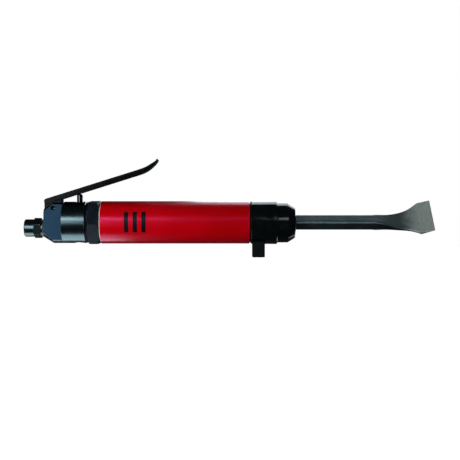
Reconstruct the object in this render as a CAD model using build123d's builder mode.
"""Inline pneumatic hammer (chisel scaler) with a lever throttle.

Millimetres. The origin is the centre of the air inlet's mouth, +X runs along the tool to the
chisel's edge and +Z is up, the side that the throttle lever is on. The barrel lies a little
above the inlet. Every piece is drawn where it sits with the lever up, the latch home, the
piston back and the chisel pushed in.
"""

import os
from math import acos, cos, radians, sin, tan

from build123d import *

os.makedirs("parts", exist_ok=True)

# ---------------------------------------------------------------- driving dimensions

BARREL_Z = 5.3  # height of the barrel's axis above the inlet's axis

# places along the tool
INLET_HEX_X = 9.2
INLET_FLANGE_X = 15.9
INLET_WASHER_X = 17.0
INLET_STUB_END_X = 28.0
BACKHEAD_X = 18.9
BACKHEAD_END_X = 58.2
NUT_X = 59.8
SLEEVE_X = 71.5
COLLAR_X = 211.0
NOSE_X = 236.6
NOSE_END_X = 253.3

# air inlet, for a 1/4 in pipe thread
INLET_R = 8.2
INLET_BORE_R = 5.6
INLET_BORE_LENGTH = 13.0
INLET_HEX_FLATS = 16.6
INLET_STUB_R = 6.6
INLET_PASSAGE_R = 4.0

# backhead, which holds the throttle
BACKHEAD_R = 19.45
BACKHEAD_REAR_R = 14.2
BACKHEAD_CONE_X = 27.4
FLAT_Y = 10.3
FLAT_END_X = 36.5
SLOT_WIDTH = 13.0
SLOT_FLOOR_Z = 12.0
SLOT_END_X = 37.4
SPIGOT_R = 14.0
SPIGOT_END_X = 84.0

# lever
PIVOT_X = 27.7
PIVOT_Z = 18.7
PIN_R = 2.3
LEVER_ANGLE = 17.5
LEVER_TRAVEL = 10.0
LEVER_HEIGHT = 10.43  # the lever's top face above the pin, measured square to the lever
LEVER_DEPTH = 4.55
LEVER_WIDTH = 15.6
LUG_WIDTH = 12.4
RUN = 0.05  # radial clearance of a running fit

# throttle, upright across the backhead
THROTTLE_X = 51.4
PLUNGER_R = 2.7
PLUNGER_DOME_R = 3.4
SEAT_Z = 2.0
PLUG_R = 5.0
PLUG_TOP_Z = -7.0
PLUG_BOTTOM_Z = -13.7
SPRING_FLOOR_Z = -11.2

# barrel
NUT_FLATS = 38.6
SLEEVE_R = 19.9
SLEEVE_BORE_R = 18.2
CYLINDER_R = 16.0
CYLINDER_END_X = 244.0
BORE_R = 9.525
BORE_X = 98.0
BORE_END_X = 178.0
SOCKET_R = 13.0

# chisel
SHANK = 11.1
SHANK_CORNER_R = 2.3
SHANK_REAR_X = 176.0
BLADE_X = 326.0
TIP_X = 380.2
TIP_LEAN = 1.1  # how far the back of the edge stands ahead of its face

# latch that holds the chisel
LATCH_X = 219.2
LATCH_LENGTH = 11.6
LATCH_BOTTOM_Z = -27.4
LATCH_WIDTH = 20.0
TONGUE = 8.0
LATCH_STEM_R = 2.5

BARREL_AXIS = Axis((0, 0, BARREL_Z), (1, 0, 0))
BARREL_SIDE = Plane((0, 0, BARREL_Z), x_dir=(1, 0, 0), z_dir=(0, -1, 0))


def barrel_face(x):
    """A plane square to the tool, centred on the barrel, facing the chisel."""
    return Plane((x, 0, BARREL_Z), x_dir=(0, 1, 0), z_dir=(1, 0, 0))


def inlet_face(x):
    """The same, centred on the air inlet."""
    return Plane((x, 0, 0), x_dir=(0, 1, 0), z_dir=(1, 0, 0))


def level(x, z):
    """A level plane above or below the axis, facing up."""
    return Plane((x, 0, z), x_dir=(1, 0, 0), z_dir=(0, 0, 1))


def rims(piece):
    """The widest round edges of a turned piece."""
    return piece.edges().filter_by(GeomType.CIRCLE).group_by(SortBy.RADIUS)[-1]


pieces = {}

# ---------------------------------------------------------------- air inlet

HEX_TURN = 10.0  # the hexagon's near flat looks a little downwards

with BuildPart() as inlet_bushing:
    with BuildSketch(inlet_face(0)):
        Circle(INLET_R)
    extrude(amount=INLET_HEX_X)
    with BuildSketch(inlet_face(INLET_HEX_X)):
        RegularPolygon(INLET_HEX_FLATS / 2, 6, major_radius=False, rotation=30 + HEX_TURN)
    extrude(amount=INLET_FLANGE_X - INLET_HEX_X)
    with BuildSketch(inlet_face(INLET_FLANGE_X)):
        Circle(INLET_R - 0.6)
    extrude(amount=INLET_WASHER_X - INLET_FLANGE_X)
    with BuildSketch(inlet_face(INLET_WASHER_X)):
        Circle(INLET_STUB_R)
    extrude(amount=INLET_STUB_END_X - INLET_WASHER_X)
    mouth_edges = inlet_bushing.edges().filter_by(GeomType.CIRCLE).sort_by(Axis.X)[0]
    chamfer(mouth_edges, 0.8)
    with BuildSketch(inlet_face(0)):
        Circle(INLET_BORE_R)
    extrude(amount=INLET_BORE_LENGTH, mode=Mode.SUBTRACT)
    with BuildSketch(inlet_face(INLET_BORE_LENGTH)):
        Circle(4.9)
    extrude(amount=1.1, mode=Mode.SUBTRACT)
    with BuildSketch(inlet_face(INLET_BORE_LENGTH)):
        Circle(INLET_PASSAGE_R)
    extrude(amount=20.0, mode=Mode.SUBTRACT)
pieces["inlet_bushing"] = inlet_bushing

with BuildPart() as inlet_seal_washer:
    with BuildSketch(inlet_face(INLET_WASHER_X)):
        Circle(INLET_R + 0.25)
        Circle(INLET_STUB_R, mode=Mode.SUBTRACT)
    extrude(amount=BACKHEAD_X - INLET_WASHER_X)
    chamfer(rims(inlet_seal_washer), 0.3)
pieces["inlet_seal_washer"] = inlet_seal_washer

# A drilled steel strainer that sits in a step at the bottom of the inlet's thread.
with BuildPart() as inlet_screen:
    with BuildSketch(inlet_face(INLET_BORE_LENGTH + 0.1)):
        Circle(4.85)
        with PolarLocations(3.3, 12):
            Circle(0.55, mode=Mode.SUBTRACT)
        with PolarLocations(1.7, 6):
            Circle(0.55, mode=Mode.SUBTRACT)
        Circle(0.55, mode=Mode.SUBTRACT)
    extrude(amount=0.9)
pieces["inlet_screen"] = inlet_screen

# ---------------------------------------------------------------- backhead

OUTLET_Z = 8.5
OUTLET_R = 3.0
GALLERY_R = 3.6
GALLERY_TOP_Z = 13.0
SEAT_TOP_Z = 5.0
BUSHING_R = 4.5

with BuildPart() as backhead:
    with BuildSketch(BARREL_SIDE):
        with BuildLine():
            Polyline(
                (BACKHEAD_X, 0),
                (BACKHEAD_X, BACKHEAD_REAR_R),
                (BACKHEAD_CONE_X, BACKHEAD_R),
                (BACKHEAD_END_X - 0.6, BACKHEAD_R),
                (BACKHEAD_END_X, BACKHEAD_R - 0.6),
                (BACKHEAD_END_X, SPIGOT_R),
                (SPIGOT_END_X - 1.0, SPIGOT_R),
                (SPIGOT_END_X, SPIGOT_R - 1.0),
                (SPIGOT_END_X, 0),
                close=True,
            )
        make_face()
    revolve(axis=BARREL_AXIS)
    # a milled flat on each side of the rear end
    for side in (-1, 1):
        with BuildSketch(level(0, BARREL_Z)):
            with Locations(((BACKHEAD_X + FLAT_END_X) / 2, side * (FLAT_Y + 10))):
                Rectangle(FLAT_END_X - BACKHEAD_X, 20)
        extrude(amount=30, both=True, mode=Mode.SUBTRACT)
    # the slot that the lever's lug swings in
    with BuildSketch(level(0, SLOT_FLOOR_Z)):
        with Locations(((BACKHEAD_X + SLOT_END_X) / 2, 0)):
            Rectangle(SLOT_END_X - BACKHEAD_X, SLOT_WIDTH)
    extrude(amount=20, mode=Mode.SUBTRACT)
    # the lever pin's hole
    with BuildSketch(Plane.XZ):
        with Locations((PIVOT_X, PIVOT_Z)):
            Circle(PIN_R)
    extrude(amount=15, both=True, mode=Mode.SUBTRACT)
    # the inlet's thread and the passage on to the valve chamber
    with BuildSketch(inlet_face(BACKHEAD_X)):
        Circle(INLET_STUB_R)
    extrude(amount=INLET_STUB_END_X + 0.5 - BACKHEAD_X, mode=Mode.SUBTRACT)
    with BuildSketch(inlet_face(BACKHEAD_X)):
        Circle(INLET_PASSAGE_R)
    extrude(amount=THROTTLE_X - BACKHEAD_X, mode=Mode.SUBTRACT)
    # the upright bore: valve chamber and plug, gallery, plunger bushing
    with BuildSketch(level(THROTTLE_X, -20)):
        Circle(PLUG_R)
    extrude(amount=20 + SEAT_TOP_Z, mode=Mode.SUBTRACT)
    with BuildSketch(level(THROTTLE_X, 0)):
        Circle(GALLERY_R)
    extrude(amount=GALLERY_TOP_Z, mode=Mode.SUBTRACT)
    with BuildSketch(level(THROTTLE_X, GALLERY_TOP_Z)):
        Circle(BUSHING_R)
    extrude(amount=20, mode=Mode.SUBTRACT)
    # the passage forward to the hammer's valve
    with BuildSketch(Plane((THROTTLE_X, 0, OUTLET_Z), x_dir=(0, 1, 0), z_dir=(1, 0, 0))):
        Circle(OUTLET_R)
    extrude(amount=40, mode=Mode.SUBTRACT)
pieces["backhead"] = backhead

# A rolled spring pin, slit along its length and sunk a little below the flats.
with BuildPart() as lever_pin:
    with BuildSketch(Plane.XZ):
        with Locations((PIVOT_X, PIVOT_Z)):
            Circle(PIN_R)
    extrude(amount=FLAT_Y - 0.5, both=True)
    chamfer(lever_pin.edges().filter_by(GeomType.CIRCLE), 0.3)
    with BuildSketch(Plane.XZ):
        with Locations((PIVOT_X, PIVOT_Z)):
            Circle(PIN_R - 0.75)
        with Locations((PIVOT_X - PIN_R / 2, PIVOT_Z)):
            Rectangle(PIN_R + 1, 0.5)
    extrude(amount=FLAT_Y, both=True, mode=Mode.SUBTRACT)
pieces["lever_pin"] = lever_pin

# ---------------------------------------------------------------- throttle

with BuildPart() as plunger_bushing:
    with BuildSketch(level(THROTTLE_X, GALLERY_TOP_Z + 1.9)):
        Circle(BUSHING_R)
        Circle(PLUNGER_R + RUN, mode=Mode.SUBTRACT)
    extrude(amount=24.2 - GALLERY_TOP_Z - 1.9)
pieces["plunger_bushing"] = plunger_bushing

with BuildPart() as plunger_seal:
    with BuildSketch(Plane((THROTTLE_X, 0, GALLERY_TOP_Z + 0.95), x_dir=(1, 0, 0), z_dir=(0, -1, 0))):
        with Locations((PLUNGER_R + 0.95, 0)):
            Circle(0.85)
    revolve(axis=Axis((THROTTLE_X, 0, 0), (0, 0, 1)))
pieces["plunger_seal"] = plunger_seal

with BuildPart() as valve_seat:
    with BuildSketch(level(THROTTLE_X, SEAT_Z)):
        Circle(PLUG_R)
        Circle(GALLERY_R - 0.2, mode=Mode.SUBTRACT)
    extrude(amount=SEAT_TOP_Z - SEAT_Z)
pieces["valve_seat"] = valve_seat

with BuildPart() as throttle_plug:
    with BuildSketch(level(THROTTLE_X, PLUG_BOTTOM_Z)):
        Circle(PLUG_R)
    extrude(amount=PLUG_TOP_Z - PLUG_BOTTOM_Z)
    chamfer(throttle_plug.edges().filter_by(GeomType.CIRCLE).sort_by(Axis.Z)[0], 0.4)
    with BuildSketch(level(THROTTLE_X, SPRING_FLOOR_Z)):
        Circle(3.9)
    extrude(amount=PLUG_TOP_Z - SPRING_FLOOR_Z, mode=Mode.SUBTRACT)
    # hexagon socket for the key
    with BuildSketch(level(THROTTLE_X, PLUG_BOTTOM_Z)):
        RegularPolygon(2.5, 6, major_radius=False)
    extrude(amount=1.5, mode=Mode.SUBTRACT)
pieces["throttle_plug"] = throttle_plug

# The underside of the lever over the plunger, at any angle of the lever.
LEVER_UNDERSIDE = LEVER_HEIGHT - LEVER_DEPTH


def underside_z(angle, x):
    return PIVOT_Z + (x - PIVOT_X) * tan(radians(angle)) + LEVER_UNDERSIDE / cos(radians(angle))


PLUNGER_GAP = 0.12
DOME_RISE = PLUNGER_DOME_R * (1 / cos(radians(LEVER_ANGLE)) - 1)
PLUNGER_TOP_Z = underside_z(LEVER_ANGLE, THROTTLE_X) - DOME_RISE - PLUNGER_GAP
PLUNGER_TRAVEL = underside_z(LEVER_ANGLE, THROTTLE_X) - underside_z(LEVER_ANGLE - LEVER_TRAVEL, THROTTLE_X)
FLANGE_BOTTOM_Z = 10.9

# Push pin under the lever, with a collar at its foot that keeps it in.
with BuildPart() as throttle_plunger:
    with BuildSketch(level(THROTTLE_X, FLANGE_BOTTOM_Z)):
        Circle(PLUNGER_R)
    extrude(amount=PLUNGER_TOP_Z - FLANGE_BOTTOM_Z)
    with BuildSketch(level(THROTTLE_X, FLANGE_BOTTOM_Z)):
        Circle(GALLERY_R - 0.2)
    extrude(amount=1.5)
    # domed top
    with BuildSketch(Plane((THROTTLE_X, 0, 0), x_dir=(1, 0, 0), z_dir=(0, -1, 0))):
        with BuildLine():
            dome_half = acos(PLUNGER_R / PLUNGER_DOME_R)
            shoulder_z = PLUNGER_TOP_Z - PLUNGER_DOME_R * (1 - sin(dome_half))
            RadiusArc((0, PLUNGER_TOP_Z), (PLUNGER_R, shoulder_z), PLUNGER_DOME_R)
            Polyline(
                (PLUNGER_R, shoulder_z),
                (PLUNGER_R + 1, shoulder_z),
                (PLUNGER_R + 1, PLUNGER_TOP_Z + 1),
                (0, PLUNGER_TOP_Z + 1),
                (0, PLUNGER_TOP_Z),
            )
        make_face()
    revolve(axis=Axis((THROTTLE_X, 0, 0), (0, 0, 1)), mode=Mode.SUBTRACT)
pieces["throttle_plunger"] = throttle_plunger

with BuildPart() as throttle_valve:
    with BuildSketch(level(THROTTLE_X, -0.9)):
        Circle(4.3)
    extrude(amount=1.9)
    with BuildSketch(level(THROTTLE_X, 1.0)):
        Circle(1.8)
    extrude(amount=FLANGE_BOTTOM_Z - 1.0)
    # spigot that centres the spring
    with BuildSketch(level(THROTTLE_X, -2.4)):
        Circle(2.1)
    extrude(amount=1.5)
pieces["throttle_valve"] = throttle_valve

with BuildPart() as valve_face_washer:
    with BuildSketch(level(THROTTLE_X, 1.0)):
        Circle(4.3)
        Circle(1.8, mode=Mode.SUBTRACT)
    extrude(amount=0.9)
pieces["valve_face_washer"] = valve_face_washer

SPRING_WIRE_R = 0.4
SPRING_R = 3.0

with BuildPart() as throttle_spring:
    spring_bottom = SPRING_FLOOR_Z + SPRING_WIRE_R + 0.02
    spring_height = -0.9 - SPRING_WIRE_R - 0.02 - spring_bottom
    with BuildLine() as throttle_coil:
        Helix(spring_height / 5.5, spring_height, SPRING_R, center=(THROTTLE_X, 0, spring_bottom))
    with BuildSketch(Plane(throttle_coil.line @ 0, z_dir=throttle_coil.line % 0)):
        Circle(SPRING_WIRE_R)
    sweep(path=throttle_coil.line, is_frenet=True)
pieces["throttle_spring"] = throttle_spring

# ---------------------------------------------------------------- lever

# The lever is drawn in its own frame: origin at the pin, x along its top face.
LEVER_PLANE = Plane(
    (PIVOT_X, 0, PIVOT_Z),
    x_dir=(cos(radians(LEVER_ANGLE)), 0, sin(radians(LEVER_ANGLE))),
    z_dir=(0, -1, 0),
)
LEVER_REAR = -4.2
LEVER_STRAIGHT = 86.2
LEVER_TIP = (105.5, 14.7)
LEVER_TIP_ROUND = (106.35, 14.6)
LEVER_TIP_UNDER = (106.5, 13.7)
LEVER_SHEET = 2.0
LEVER_HOLLOW = 36.2  # where the hollow underside starts

with BuildPart() as throttle_lever:
    # side profile: a straight bar that thins into a turned-up tip
    with BuildSketch(LEVER_PLANE):
        with BuildLine():
            top = Line((LEVER_REAR, LEVER_HEIGHT), (LEVER_STRAIGHT, LEVER_HEIGHT))
            tip_top = Spline(
                (top @ 1, (95.2, LEVER_HEIGHT + 0.7), (101.2, LEVER_HEIGHT + 2.2), LEVER_TIP),
                tangents=((1, 0), (0.6, 0.8)),
            )
            tip_end = ThreePointArc(tip_top @ 1, LEVER_TIP_ROUND, LEVER_TIP_UNDER)
            heel = Line((LEVER_STRAIGHT - 3, LEVER_UNDERSIDE), (LEVER_REAR - 2.2, LEVER_UNDERSIDE))
            Spline(
                (tip_end @ 1, (100.8, LEVER_UNDERSIDE + 3.6), (95.2, LEVER_UNDERSIDE + 1.3), heel @ 0),
                tangents=((-0.6, -0.8), (-1, 0)),
            )
            rear = Line(heel @ 1, (LEVER_REAR - 2.2, LEVER_HEIGHT - 2.4))
            RadiusArc(rear @ 1, top @ 0, 2.9)
        make_face()
    extrude(amount=LEVER_WIDTH / 2, both=True)
    long_edges = throttle_lever.edges().filter_by(GeomType.LINE).filter_by(
        Axis((0, 0, 0), (cos(radians(LEVER_ANGLE)), 0, sin(radians(LEVER_ANGLE))))
    )
    fillet(long_edges.group_by(SortBy.LENGTH)[-1], 1.2)
    # hollow underside forward of the pad that rests on the plunger
    with BuildSketch(LEVER_PLANE):
        with BuildLine():
            Polyline(
                (LEVER_HOLLOW, LEVER_UNDERSIDE - 1),
                (LEVER_HOLLOW, LEVER_HEIGHT - LEVER_SHEET),
                (LEVER_STRAIGHT, LEVER_HEIGHT - LEVER_SHEET),
                (LEVER_STRAIGHT + 5, LEVER_UNDERSIDE - 1),
                close=True,
            )
        make_face()
    extrude(amount=LEVER_WIDTH / 2 - 2.4, both=True, mode=Mode.SUBTRACT)
    # lug that hangs in the backhead's slot
    with BuildSketch(Plane.XZ):
        with BuildLine():
            Polyline(
                (BACKHEAD_X + 0.3, 18.6),
                (BACKHEAD_X + 0.3, 24.4),
                (35.2, 30.5),
                (35.2, 23.2),
                (32.0, 17.6),
                (20.2, 17.6),
                close=True,
            )
        make_face()
        with Locations((PIVOT_X, PIVOT_Z)):
            Circle(4.6)
    extrude(amount=LUG_WIDTH / 2, both=True)
    with BuildSketch(Plane.XZ):
        with Locations((PIVOT_X, PIVOT_Z)):
            Circle(PIN_R + RUN)
    extrude(amount=LUG_WIDTH, both=True, mode=Mode.SUBTRACT)
pieces["throttle_lever"] = throttle_lever

# ---------------------------------------------------------------- lock nut and sleeve

with BuildPart() as lock_washer:
    with BuildSketch(barrel_face(BACKHEAD_END_X)):
        Circle(BACKHEAD_R - 0.3)
        Circle(SPIGOT_R, mode=Mode.SUBTRACT)
    extrude(amount=NUT_X - BACKHEAD_END_X)
    chamfer(rims(lock_washer), 0.4)
pieces["lock_washer"] = lock_washer

NUT_CORNER_R = NUT_FLATS / 2 / cos(radians(30))
NUT_TURN = 6.0

with BuildPart() as lock_nut:
    with BuildSketch(barrel_face(NUT_X)):
        RegularPolygon(NUT_CORNER_R, 6, rotation=NUT_TURN)
        Circle(SPIGOT_R, mode=Mode.SUBTRACT)
    extrude(amount=SLEEVE_X - NUT_X)
    # both ends turned to a 30 degree chamfer
    with BuildSketch(BARREL_SIDE):
        with BuildLine():
            Polyline(
                (NUT_X, 0),
                (NUT_X, NUT_FLATS / 2 - 0.6),
                (NUT_X + 2.1, NUT_CORNER_R),
                (SLEEVE_X - 2.1, NUT_CORNER_R),
                (SLEEVE_X, NUT_FLATS / 2 - 0.6),
                (SLEEVE_X, 0),
                close=True,
            )
        make_face()
    revolve(axis=BARREL_AXIS, mode=Mode.INTERSECT)
pieces["lock_nut"] = lock_nut

with BuildPart() as grip_sleeve:
    with BuildSketch(barrel_face(SLEEVE_X)):
        Circle(SLEEVE_R)
        Circle(SLEEVE_BORE_R, mode=Mode.SUBTRACT)
    extrude(amount=COLLAR_X - SLEEVE_X)
    chamfer(rims(grip_sleeve), 0.7)
pieces["grip_sleeve"] = grip_sleeve

# ---------------------------------------------------------------- cylinder and its valve

LAND_R = SLEEVE_BORE_R - 0.05
LAND_LENGTH = 7.0
GROOVE_DEPTH = 1.6
RING_R = 0.8
REAR_LAND_X = SLEEVE_X + LAND_LENGTH
FRONT_LAND_X = COLLAR_X - LAND_LENGTH
PASSAGE_PITCH_R = 12.8
PASSAGE_R = 1.6

with BuildPart() as cylinder:
    with BuildSketch(BARREL_SIDE):
        with BuildLine():
            Polyline(
                (SLEEVE_X, SPIGOT_R),
                (SLEEVE_X, LAND_R),
                (REAR_LAND_X, LAND_R),
                (REAR_LAND_X + 2, CYLINDER_R),
                (FRONT_LAND_X - 2, CYLINDER_R),
                (FRONT_LAND_X, LAND_R),
                (COLLAR_X, LAND_R),
                (COLLAR_X, CYLINDER_R),
                (CYLINDER_END_X, CYLINDER_R),
                (CYLINDER_END_X, SOCKET_R),
                (BORE_END_X, SOCKET_R),
                (BORE_END_X, BORE_R),
                (BORE_X, BORE_R),
                (BORE_X, SPIGOT_R),
                close=True,
            )
        make_face()
    revolve(axis=BARREL_AXIS)
    # a ring groove in each land
    for ring_x in (SLEEVE_X + LAND_LENGTH / 2, COLLAR_X - LAND_LENGTH / 2):
        with BuildSketch(barrel_face(ring_x - RING_R)):
            Circle(LAND_R + 1)
            Circle(LAND_R - GROOVE_DEPTH, mode=Mode.SUBTRACT)
        extrude(amount=2 * RING_R, mode=Mode.SUBTRACT)
    # return passages in the wall, from the valve to the front of the bore
    with BuildSketch(barrel_face(BORE_X)):
        with PolarLocations(PASSAGE_PITCH_R - 0.5, 2, start_angle=90):
            Circle(PASSAGE_R)
    extrude(amount=BORE_END_X - BORE_X - 12, mode=Mode.SUBTRACT)
    for port_side in (-1, 1):
        port_z = BARREL_Z + port_side * PASSAGE_PITCH_R
        with BuildSketch(level(BORE_END_X - 14, port_z)):
            Circle(1.2)
        extrude(amount=-port_side * 5, mode=Mode.SUBTRACT)
    # exhaust ports out to the space under the sleeve
    with BuildSketch(Plane.XZ):
        with Locations((BORE_X + 46, BARREL_Z), (BORE_X + 54, BARREL_Z)):
            Circle(2.2)
    extrude(amount=25, both=True, mode=Mode.SUBTRACT)
    # exhaust slots through the front land
    with BuildSketch(barrel_face(FRONT_LAND_X - 3)):
        with PolarLocations(LAND_R, 8, start_angle=22.5):
            Rectangle(3.2, 4.0)
    extrude(amount=LAND_LENGTH + 2.9, mode=Mode.SUBTRACT)
    # window for the latch
    with BuildSketch(level(LATCH_X, -30)):
        Rectangle(TONGUE + 0.6, TONGUE + 0.6)
    extrude(amount=30 + BARREL_Z, mode=Mode.SUBTRACT)
pieces["cylinder"] = cylinder

with BuildPart() as sleeve_rings:
    with BuildSketch(BARREL_SIDE):
        with Locations(
            (SLEEVE_X + LAND_LENGTH / 2, LAND_R - RING_R),
            (COLLAR_X - LAND_LENGTH / 2, LAND_R - RING_R),
        ):
            Circle(RING_R - 0.03)
    revolve(axis=BARREL_AXIS)
pieces["sleeve_rings"] = sleeve_rings

VALVE_X = 86.0
VALVE_SPLIT_X = 92.0
VALVE_R = SPIGOT_R - 0.05

with BuildPart() as valve_gasket:
    with BuildSketch(barrel_face(SPIGOT_END_X)):
        Circle(VALVE_R - 1.2)
        Circle(VALVE_R - 3.4, mode=Mode.SUBTRACT)
    extrude(amount=VALVE_X - SPIGOT_END_X)
pieces["valve_gasket"] = valve_gasket

DISC_R = 6.6
DISC_X = VALVE_SPLIT_X - 1.2
DISC_THICKNESS = 1.6
DISC_TRAVEL = 0.8
DOWEL_R = 1.25
DOWEL_PITCH_R = 10.6

with BuildPart() as valve_case_rear:
    with BuildSketch(barrel_face(VALVE_X)):
        Circle(VALVE_R)
        with PolarLocations(4.4, 4, start_angle=45):
            Circle(1.5, mode=Mode.SUBTRACT)
        with PolarLocations(DOWEL_PITCH_R, 2):
            Circle(DOWEL_R, mode=Mode.SUBTRACT)
    extrude(amount=VALVE_SPLIT_X - VALVE_X)
    with BuildSketch(barrel_face(DISC_X - 0.1)):
        Circle(DISC_R + 0.3)
    extrude(amount=5, mode=Mode.SUBTRACT)
pieces["valve_case_rear"] = valve_case_rear

with BuildPart() as valve_case_front:
    with BuildSketch(barrel_face(VALVE_SPLIT_X)):
        Circle(VALVE_R)
        Circle(3.4, mode=Mode.SUBTRACT)
        with PolarLocations(DOWEL_PITCH_R, 2):
            Circle(DOWEL_R, mode=Mode.SUBTRACT)
        with PolarLocations(PASSAGE_PITCH_R - 0.5, 2, start_angle=90):
            Circle(1.2, mode=Mode.SUBTRACT)
    extrude(amount=BORE_X - VALVE_SPLIT_X)
    with BuildSketch(barrel_face(VALVE_SPLIT_X)):
        Circle(DISC_R + 0.3)
    extrude(amount=DISC_THICKNESS - 1.2 + DISC_TRAVEL + 0.1, mode=Mode.SUBTRACT)
pieces["valve_case_front"] = valve_case_front

with BuildPart() as valve_dowels:
    with BuildSketch(barrel_face(VALVE_X + 0.5)):
        with PolarLocations(DOWEL_PITCH_R, 2):
            Circle(DOWEL_R)
    extrude(amount=BORE_X - VALVE_X - 1.0)
pieces["valve_dowels"] = valve_dowels

with BuildPart() as valve_disc:
    with BuildSketch(barrel_face(DISC_X)):
        Circle(DISC_R)
        Circle(1.6, mode=Mode.SUBTRACT)
    extrude(amount=DISC_THICKNESS)
pieces["valve_disc"] = valve_disc

PISTON_X = 99.5
PISTON_LENGTH = 44.0

with BuildPart() as piston:
    with BuildSketch(barrel_face(PISTON_X)):
        Circle(BORE_R - RUN)
    extrude(amount=PISTON_LENGTH)
    chamfer(piston.edges().filter_by(GeomType.CIRCLE), 1.0)
    # oil grooves round the piston
    for groove_x in (8, 16, 24, 32):
        with BuildSketch(barrel_face(PISTON_X + groove_x)):
            Circle(BORE_R + 1)
            Circle(BORE_R - 0.6, mode=Mode.SUBTRACT)
        extrude(amount=1.0, mode=Mode.SUBTRACT)
pieces["piston"] = piston

# ---------------------------------------------------------------- front end

BUSHING_SHOULDER_X = CYLINDER_END_X
NOSE_HOLE_R = 9.2
SOCKET_CLEARANCE = 0.25

with BuildPart() as tool_bushing:
    with BuildSketch(BARREL_SIDE):
        with BuildLine():
            Polyline(
                (BORE_END_X, 0),
                (BORE_END_X, SOCKET_R - 0.05),
                (BUSHING_SHOULDER_X, SOCKET_R - 0.05),
                (BUSHING_SHOULDER_X, NOSE_HOLE_R - 0.1),
                (NOSE_END_X + 0.3, NOSE_HOLE_R - 0.1),
                (NOSE_END_X + 0.9, NOSE_HOLE_R - 0.7),
                (NOSE_END_X + 0.9, 0),
                close=True,
            )
        make_face()
    revolve(axis=BARREL_AXIS)
    # a square hole standing on its corner
    with BuildSketch(barrel_face(BORE_END_X)):
        RectangleRounded(SHANK + 2 * SOCKET_CLEARANCE, SHANK + 2 * SOCKET_CLEARANCE, 0.6, rotation=45)
    extrude(amount=90, mode=Mode.SUBTRACT)
    with BuildSketch(level(LATCH_X, -30)):
        Rectangle(TONGUE + 0.6, TONGUE + 0.6)
    extrude(amount=30 + BARREL_Z, mode=Mode.SUBTRACT)
pieces["tool_bushing"] = tool_bushing

COLLAR_R = 20.4

with BuildPart() as front_collar:
    with BuildSketch(BARREL_SIDE):
        with BuildLine():
            Polyline(
                (COLLAR_X, CYLINDER_R + 0.05),
                (COLLAR_X, COLLAR_R - 2.0),
                (COLLAR_X + 1.6, COLLAR_R - 0.2),
                (NOSE_X - 0.6, COLLAR_R),
                (NOSE_X, COLLAR_R - 0.6),
                (NOSE_X, CYLINDER_R + 0.05),
                close=True,
            )
        make_face()
    revolve(axis=BARREL_AXIS)
    with BuildSketch(level(LATCH_X, BARREL_Z - COLLAR_R - 2)):
        Circle(LATCH_STEM_R + 0.1)
    extrude(amount=8, mode=Mode.SUBTRACT)
pieces["front_collar"] = front_collar

with BuildPart() as nose_cap:
    with BuildSketch(BARREL_SIDE):
        with BuildLine():
            Polyline(
                (NOSE_X, CYLINDER_R),
                (NOSE_X, 18.5),
                (NOSE_X + 0.4, 18.9),
                (NOSE_X + 10.0, 18.9),
                (NOSE_END_X - 0.4, 14.9),
                (NOSE_END_X, 14.5),
                (NOSE_END_X, NOSE_HOLE_R),
                (CYLINDER_END_X, NOSE_HOLE_R),
                (CYLINDER_END_X, CYLINDER_R),
                close=True,
            )
        make_face()
    revolve(axis=BARREL_AXIS)
pieces["nose_cap"] = nose_cap

# ---------------------------------------------------------------- latch

TONGUE_TOP_Z = 0.9
TONGUE_BOTTOM_Z = -5.0

with BuildPart() as latch_plunger:
    with BuildSketch(level(LATCH_X, TONGUE_BOTTOM_Z)):
        Rectangle(TONGUE, TONGUE)
    extrude(amount=TONGUE_TOP_Z - TONGUE_BOTTOM_Z)
    with BuildSketch(level(LATCH_X, LATCH_BOTTOM_Z + 3)):
        Circle(LATCH_STEM_R)
    extrude(amount=TONGUE_BOTTOM_Z - LATCH_BOTTOM_Z - 3)
pieces["latch_plunger"] = latch_plunger

with BuildPart() as latch_block:
    with BuildSketch(level(LATCH_X, LATCH_BOTTOM_Z)):
        Rectangle(LATCH_LENGTH, LATCH_WIDTH)
    extrude(amount=16.5)
    chamfer(latch_block.edges().filter_by(Axis.Z), 1.0)
    chamfer(latch_block.edges().group_by(Axis.Z)[0], 0.5)
    # hollowed to follow the collar
    with BuildSketch(barrel_face(COLLAR_X - 5)):
        Circle(COLLAR_R + 0.3)
    extrude(amount=40, mode=Mode.SUBTRACT)
    with BuildSketch(level(LATCH_X, LATCH_BOTTOM_Z + 3)):
        Circle(LATCH_STEM_R)
    extrude(amount=20, mode=Mode.SUBTRACT)
    with BuildSketch(Plane.XZ):
        with Locations((LATCH_X, LATCH_BOTTOM_Z + 6)):
            Circle(0.9)
    extrude(amount=10, both=True, mode=Mode.SUBTRACT)
pieces["latch_block"] = latch_block

# Cross pin through the block and the plunger's foot, cut to leave the plunger whole.
with BuildPart() as latch_pins:
    with BuildSketch(Plane.XZ):
        with Locations((LATCH_X, LATCH_BOTTOM_Z + 6)):
            Circle(0.9)
    extrude(amount=LATCH_WIDTH / 2 - 0.2, both=True)
    with BuildSketch(level(LATCH_X, LATCH_BOTTOM_Z)):
        Circle(LATCH_STEM_R)
    extrude(amount=20, mode=Mode.SUBTRACT)
pieces["latch_pins"] = latch_pins

LATCH_WIRE_R = 0.25
LATCH_SPRING_R = 3.1

with BuildPart() as latch_spring:
    seat_z = BARREL_Z - CYLINDER_R + LATCH_WIRE_R + 0.1
    spring_rise = TONGUE_BOTTOM_Z - LATCH_WIRE_R - 0.05 - seat_z
    with BuildLine() as latch_coil:
        Helix(spring_rise / 3.5, spring_rise, LATCH_SPRING_R, center=(LATCH_X, 0, seat_z))
    with BuildSketch(Plane(latch_coil.line @ 0, z_dir=latch_coil.line % 0)):
        Circle(LATCH_WIRE_R)
    sweep(path=latch_coil.line, is_frenet=True)
pieces["latch_spring"] = latch_spring

# ---------------------------------------------------------------- chisel

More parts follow.
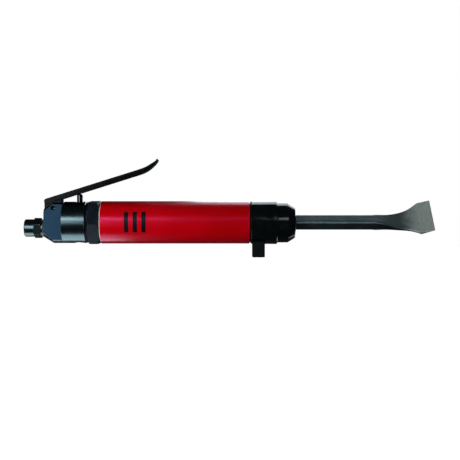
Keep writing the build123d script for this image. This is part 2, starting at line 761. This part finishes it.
# The blade's broad face looks up and towards -Y. It dips where the bar is flattened and turns
# up again to the edge.
HALF = 0.5**0.5
BLADE_SIDE = Plane((0, 0, BARREL_Z), x_dir=(1, 0, 0), z_dir=(0, -HALF, -HALF))
NOTCH_X = 207.9
NOTCH_END_X = 223.5
TIP_FACE = 10.2
TIP_BACK = 9.1

# place along the chisel, half of the width, height of the face, height of the back, corner
FORGED_STATIONS = (
    (BLADE_X, SHANK / 2, SHANK / 2, -SHANK / 2, SHANK_CORNER_R),
    (335.0, 6.3, 4.6, -4.4, 1.4),
    (344.0, 8.3, 2.9, -2.4, 1.0),
    (353.0, 10.9, 2.6, -0.4, 0.7),
    (361.0, 14.0, 4.0, 1.6, 0.5),
    (366.0, 17.2, 5.4, 2.9, 0.4),
    (369.5, 19.6, 6.4, 3.6, 0.3),
)
TIP_STATION = (TIP_X + TIP_LEAN, 19.7, TIP_FACE, TIP_BACK, 0.2)


def blade_plane(x):
    """A plane square to the chisel: its x runs across the blade, its y out of the blade's face."""
    return Plane((x, 0, BARREL_Z), x_dir=(0, HALF, HALF), z_dir=(1, 0, 0))


with BuildPart() as chisel:
    for x, half, face, back, corner in FORGED_STATIONS:
        with BuildSketch(blade_plane(x)):
            with Locations((0, (face + back) / 2)):
                RectangleRounded(2 * half, face - back, corner)
    loft()
    for x, half, face, back, corner in (FORGED_STATIONS[-1], TIP_STATION):
        with BuildSketch(blade_plane(x)):
            with Locations((0, (face + back) / 2)):
                RectangleRounded(2 * half, face - back, corner)
    loft(ruled=True)
    # the edge is ground to lean back from its tip
    with BuildSketch(BLADE_SIDE):
        with BuildLine():
            Polyline(
                (TIP_X - 0.2, TIP_FACE + 1),
                (TIP_X, TIP_FACE - 0.2),
                (TIP_X + TIP_LEAN, TIP_BACK),
                (TIP_X + 5, TIP_BACK),
                (TIP_X + 5, TIP_FACE + 1),
                close=True,
            )
        make_face()
    extrude(amount=30, both=True, mode=Mode.SUBTRACT)
    # the square shank, its corners eased
    with BuildSketch(barrel_face(SHANK_REAR_X)):
        RectangleRounded(SHANK, SHANK, SHANK_CORNER_R, rotation=45)
    extrude(amount=BLADE_X - SHANK_REAR_X)
    chamfer(chisel.faces().sort_by(Axis.X)[0].edges(), 0.8)
    # notch that the latch drops into
    with BuildSketch(Plane.XZ):
        with BuildLine():
            Polyline(
                (NOTCH_X, BARREL_Z - 10),
                (NOTCH_X, TONGUE_TOP_Z + 0.25),
                (NOTCH_END_X, TONGUE_TOP_Z + 0.25),
                (NOTCH_END_X, BARREL_Z - 10),
                close=True,
            )
        make_face()
    extrude(amount=12, both=True, mode=Mode.SUBTRACT)
pieces["chisel"] = chisel

# ---------------------------------------------------------------- write the pieces

for label, piece in pieces.items():
    piece.part.label = label
    export_step(piece.part, f"parts/{label}.step")

print("plunger travel", round(PLUNGER_TRAVEL, 3))
